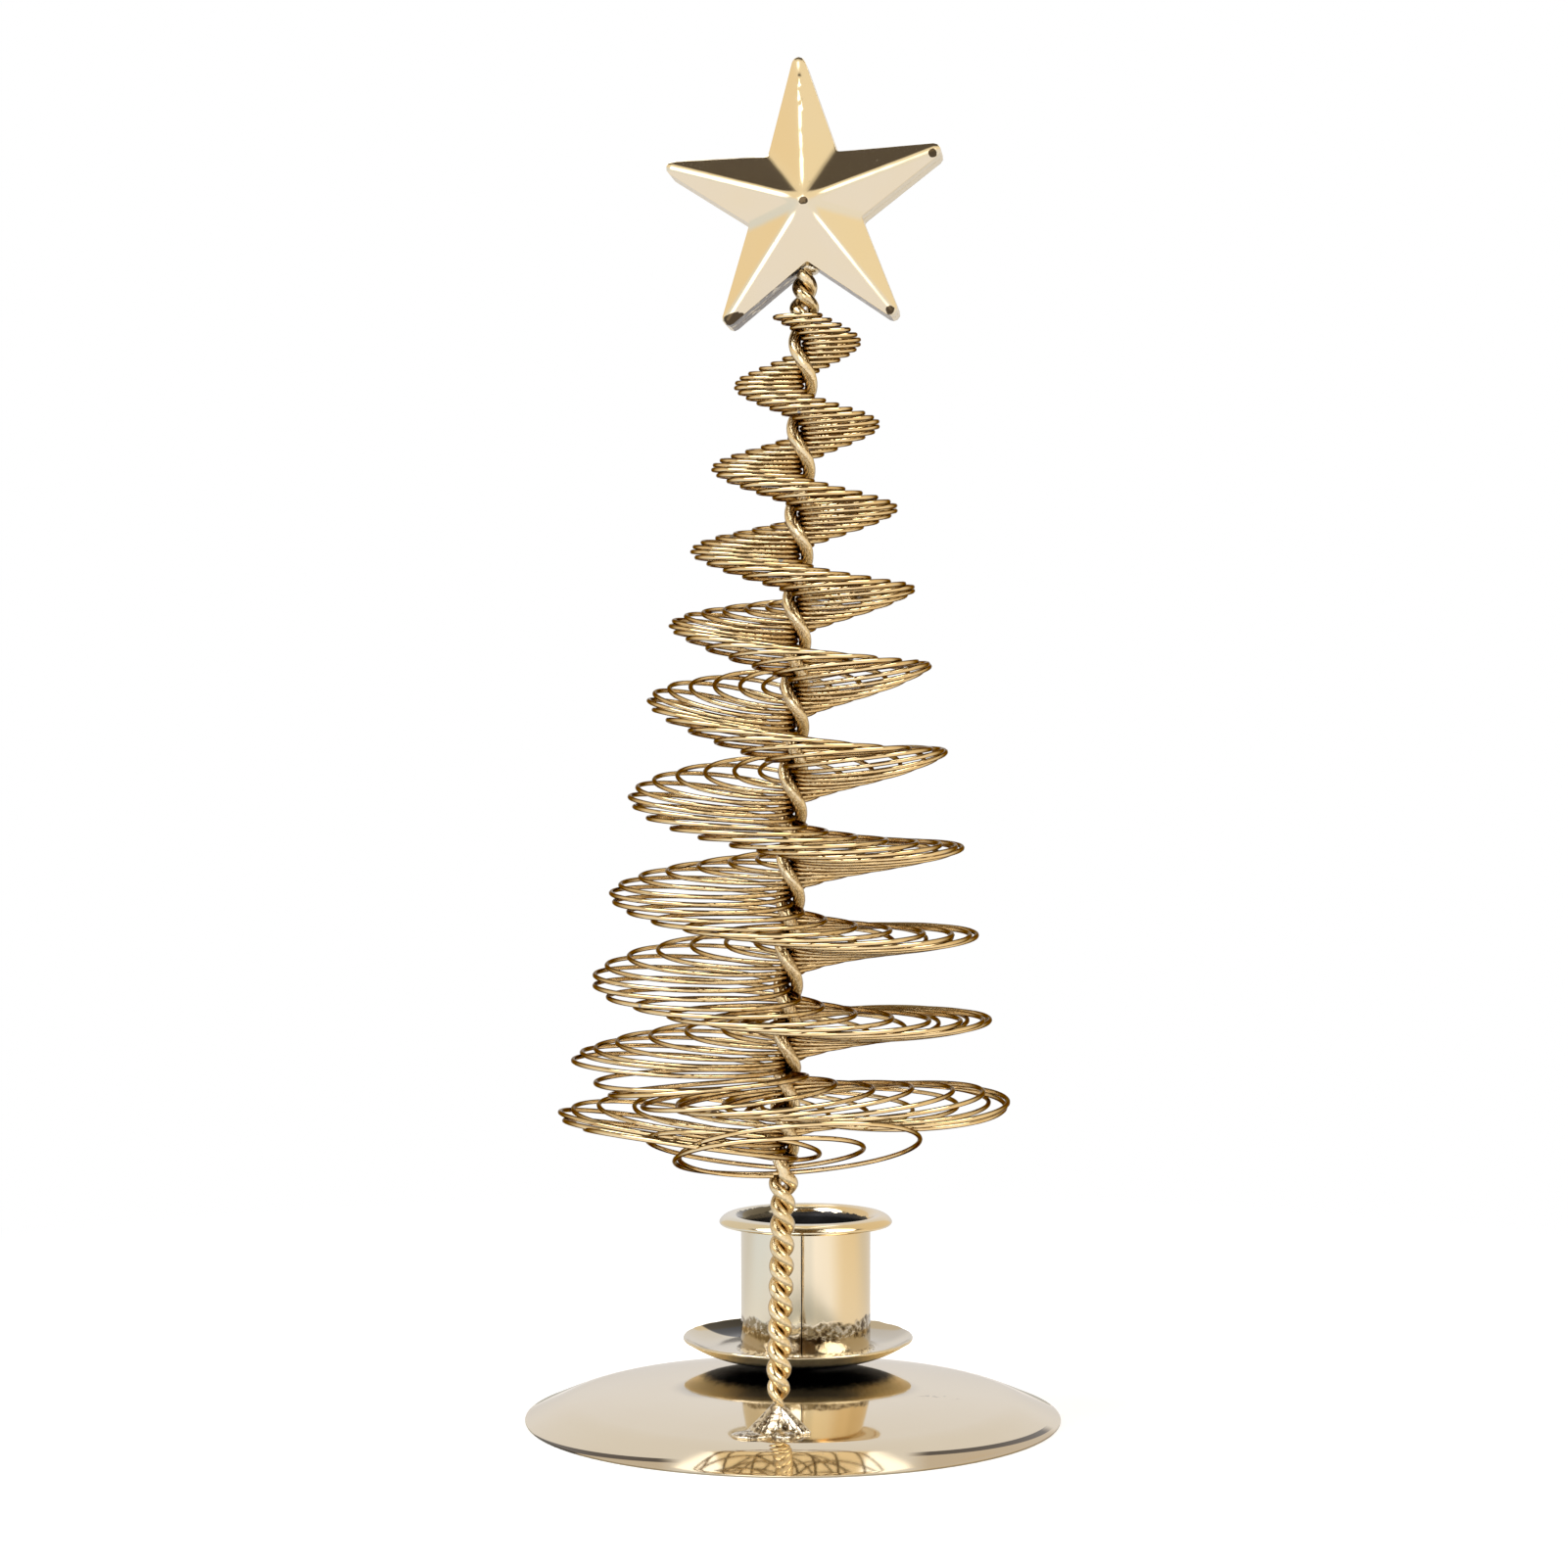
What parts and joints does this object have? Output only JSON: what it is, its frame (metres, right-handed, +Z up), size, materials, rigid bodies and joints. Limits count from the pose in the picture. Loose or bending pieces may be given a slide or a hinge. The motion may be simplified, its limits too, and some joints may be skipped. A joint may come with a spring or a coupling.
{
  "type": "christmas tree candle holder",
  "caption": "Plated candle holder: round domed base with a drip tray and flared candle cup behind a twisted-wire stem that carries a coiled wire tree and a faceted star.",
  "frame": {"origin": "centre of the bounding box's underside, on the surface that the base stands on", "axes": "+Z up along the stem, -Y the front that the star faces, +X to the viewer's right"},
  "size_m": [0.1, 0.1194, 0.2463],
  "materials": {
    "plated_sheet": "polished pale gold plating, finely speckled",
    "thick_wire": "polished gold plating",
    "thin_wire": "polished gold plating",
    "star_shell": "polished pale gold plating",
    "weld": "plated weld metal"
  },
  "bodies": {
    "root": {"base_plate": "plated_sheet", "drip_tray": "plated_sheet", "candle_cup": "plated_sheet", "stem_wire_a": "thick_wire", "stem_wire_b": "thick_wire", "tree_wire": "thin_wire", "star_front": "star_shell", "star_back": "star_shell", "stem_foot": "weld", "star_weld": "weld", "tray_weld": "weld", "cup_weld": "weld"}
  },
  "joints": []
}
